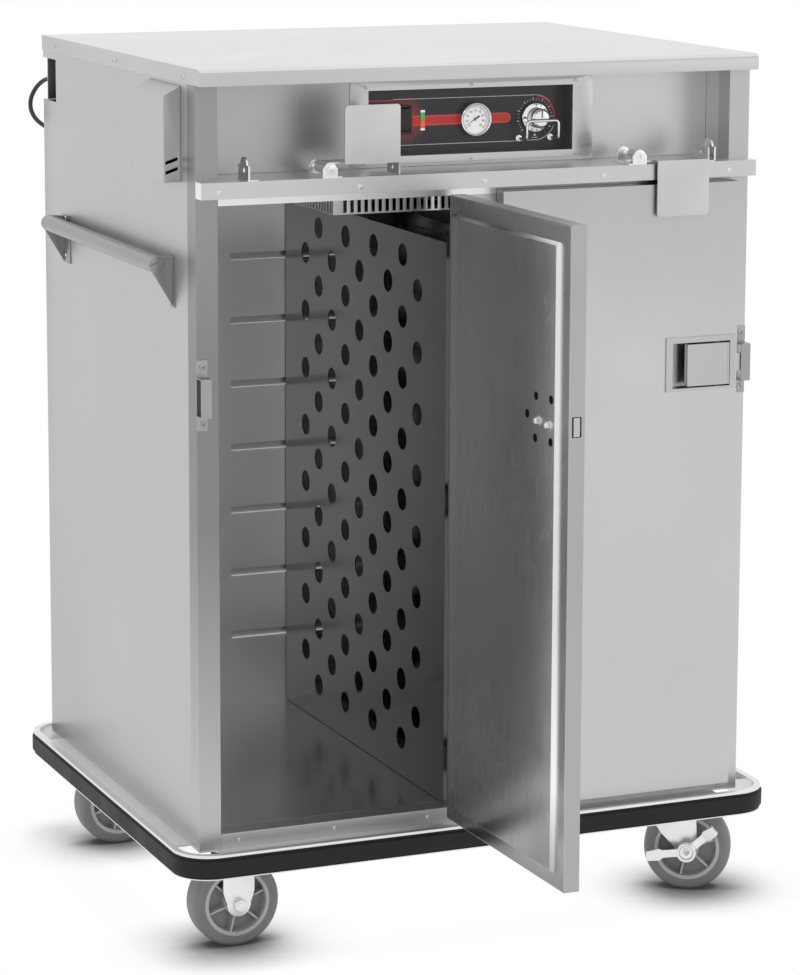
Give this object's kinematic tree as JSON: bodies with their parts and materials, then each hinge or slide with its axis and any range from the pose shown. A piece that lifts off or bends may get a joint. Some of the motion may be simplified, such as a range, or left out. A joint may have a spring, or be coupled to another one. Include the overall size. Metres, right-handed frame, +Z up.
{
  "type": "enclosed meal tray cart",
  "caption": "Stainless enclosed meal tray cart with hinged doors, heated top with dial and knob controls, flip locks, push handle, wrap-round bumper and swivel and rigid casters.",
  "frame": {"origin": "centre of the footprint on the floor, measured over the bumper and the open left door", "axes": "+Z up, the doors face -Y, +X to the right seen from the front"},
  "size_m": [1.094, 1.4351, 1.475],
  "materials": {
    "polished_steel": "polished",
    "top_steel": "satin",
    "inner_steel": "satin",
    "back_steel": "satin",
    "base_steel": "satin",
    "bumper_steel": "satin",
    "bumper_rubber": "matte",
    "zinc": "bright zinc plate",
    "chrome": "polished",
    "handle_steel": "satin",
    "panel_black": "satin",
    "dial_case": "polished",
    "needle_black": "matte",
    "knob_metal": "satin",
    "switch_black": "gloss",
    "lamp_lens": "gloss",
    "wheel_grey": "matte",
    "pedal_metal": "satin",
    "latch_steel": "satin",
    "insulation": "fibre board",
    "motor_grey": "satin",
    "impeller": "satin",
    "cord_black": "matte"
  },
  "bodies": {
    "root": {"top_cover": "top_steel", "left_side_panel": "polished_steel", "right_side_panel": "polished_steel", "back_panel": "back_steel", "face_frame": "polished_steel", "header_ledge": "polished_steel", "recess_panel": "polished_steel", "control_frame": "polished_steel", "control_panel": "panel_black", "thermometer": "dial_case", "knob_guard": "chrome", "indicator_lamps": "lamp_lens", "side_liners": "inner_steel", "rear_liner": "inner_steel", "deck_liners": "inner_steel", "insulation": "insulation", "divider_walls": "inner_steel", "blower_cover": "inner_steel", "blower_motor": "motor_grey", "base_frame": "base_steel", "bumper_channel": "bumper_steel", "bumper_strip": "bumper_rubber", "rigid_casters": "zinc", "swivel_plates": "zinc", "push_handle": "handle_steel", "side_vent": "handle_steel", "cord_plate": "polished_steel", "strain_relief": "cord_black", "cord_lead": "cord_black", "cord_coil": "cord_black", "plug": "cord_black", "hinge_jambs": "chrome", "strikes": "zinc", "lock_brackets": "zinc"},
    "left_door": {"left_door_skin": "polished_steel", "left_door_pan": "inner_steel", "left_latch_case": "latch_steel", "left_hinge_leaves": "chrome"},
    "left_paddle": {"left_latch_paddle": "latch_steel"},
    "left_bolt": {"left_latch_bolt": "latch_steel"},
    "right_door": {"right_door_skin": "polished_steel", "right_door_pan": "inner_steel", "right_latch_case": "latch_steel", "right_hinge_leaves": "chrome"},
    "right_paddle": {"right_latch_paddle": "latch_steel"},
    "right_bolt": {"right_latch_bolt": "latch_steel"},
    "left_lock": {"left_lock_plate": "polished_steel"},
    "right_lock": {"right_lock_plate": "polished_steel"},
    "knob": {"thermostat_knob": "knob_metal"},
    "rocker": {"switch_rocker": "switch_black"},
    "needle": {"thermometer_needle": "needle_black"},
    "impeller": {"blower_wheel": "impeller"},
    "wheel_fl": {"wheel_fl": "wheel_grey"},
    "wheel_rl": {"wheel_rl": "wheel_grey"},
    "swivel_fr": {"fork_fr": "zinc"},
    "wheel_fr": {"wheel_fr": "wheel_grey"},
    "pedal_fr": {"brake_fr": "pedal_metal"},
    "swivel_rr": {"fork_rr": "zinc"},
    "wheel_rr": {"wheel_rr": "wheel_grey"},
    "pedal_rr": {"brake_rr": "pedal_metal"}
  },
  "joints": [
    {"name": "left_door_hinge", "type": "hinge", "parent": "root", "child": "left_door", "pos_m": [-0.0335, -0.2212, 0.725], "axis": [0, 0, 1], "range_deg": [-91, 0]},
    {"name": "right_door_hinge", "type": "hinge", "parent": "root", "child": "right_door", "pos_m": [0.0335, -0.2212, 0.725], "axis": [0, 0, -1], "range_deg": [0, 90]},
    {"name": "left_paddle_hinge", "type": "hinge", "parent": "left_door", "child": "left_paddle", "pos_m": [-0.03369, -0.64007, 0.948], "axis": [0, 0, -1], "range_deg": [0, 25], "stiffness_Nm_per_rad": 0.5, "springref_deg": -17.19},
    {"name": "right_paddle_hinge", "type": "hinge", "parent": "right_door", "child": "right_paddle", "pos_m": [0.4523, -0.2137, 0.948], "axis": [0, 0, 1], "range_deg": [0, 25], "stiffness_Nm_per_rad": 0.5, "springref_deg": -17.19},
    {"name": "left_bolt_slide", "type": "slide", "parent": "left_door", "child": "left_bolt", "axis": [0.0175, -0.9998, 0], "range_m": [-0.021, 0]},
    {"name": "right_bolt_slide", "type": "slide", "parent": "right_door", "child": "right_bolt", "axis": [1, 0, 0], "range_m": [-0.021, 0]},
    {"name": "left_lock_pivot", "type": "hinge", "parent": "root", "child": "left_lock", "pos_m": [-0.283, -0.1837, 1.309], "axis": [0, -1, 0], "range_deg": [0, 180]},
    {"name": "right_lock_pivot", "type": "hinge", "parent": "root", "child": "right_lock", "pos_m": [0.283, -0.1837, 1.309], "axis": [0, -1, 0], "range_deg": [0, 180]},
    {"name": "knob_turn", "type": "hinge", "parent": "root", "child": "knob", "pos_m": [0.1525, -0.0837, 1.366], "axis": [0, 1, 0], "range_deg": [0, 300]},
    {"name": "rocker_tilt", "type": "hinge", "parent": "root", "child": "rocker", "pos_m": [-0.088, -0.0667, 1.3695], "axis": [-1, 0, 0], "range_deg": [0, 14]},
    {"name": "needle_turn", "type": "hinge", "parent": "root", "child": "needle", "pos_m": [0.0395, -0.0707, 1.367], "axis": [0, 1, 0], "range_deg": [0, 244]},
    {"name": "impeller_spin", "type": "hinge", "parent": "root", "child": "impeller", "pos_m": [0, -0.0037, 1.24], "axis": [0, 0, 1], "continuous": true},
    {"name": "wheel_fl_spin", "type": "hinge", "parent": "root", "child": "wheel_fl", "pos_m": [-0.421, -0.1237, 0.0762], "axis": [0, 1, 0], "continuous": true},
    {"name": "wheel_rl_spin", "type": "hinge", "parent": "root", "child": "wheel_rl", "pos_m": [-0.421, 0.4953, 0.0762], "axis": [0, 1, 0], "continuous": true},
    {"name": "swivel_fr_turn", "type": "hinge", "parent": "root", "child": "swivel_fr", "pos_m": [0.395, -0.1247, 0.164], "axis": [0, 0, 1], "continuous": true},
    {"name": "swivel_rr_turn", "type": "hinge", "parent": "root", "child": "swivel_rr", "pos_m": [0.395, 0.5143, 0.164], "axis": [0, 0, 1], "continuous": true},
    {"name": "wheel_fr_spin", "type": "hinge", "parent": "swivel_fr", "child": "wheel_fr", "pos_m": [0.42791, -0.1437, 0.0762], "axis": [-0.5, -0.866, 0], "continuous": true},
    {"name": "wheel_rr_spin", "type": "hinge", "parent": "swivel_rr", "child": "wheel_rr", "pos_m": [0.42791, 0.4953, 0.0762], "axis": [-0.5, -0.866, 0], "continuous": true},
    {"name": "pedal_fr_tilt", "type": "hinge", "parent": "swivel_fr", "child": "pedal_fr", "pos_m": [0.42791, -0.1437, 0.0762], "axis": [-0.5, -0.866, 0], "range_deg": [0, 20]},
    {"name": "pedal_rr_tilt", "type": "hinge", "parent": "swivel_rr", "child": "pedal_rr", "pos_m": [0.42791, 0.4953, 0.0762], "axis": [-0.5, -0.866, 0], "range_deg": [0, 20]}
  ],
  "couplings": [
    {"joint": "left_bolt_slide", "follows": "left_paddle_hinge", "m_per_rad": -0.048128},
    {"joint": "right_bolt_slide", "follows": "right_paddle_hinge", "m_per_rad": -0.048128}
  ]
}
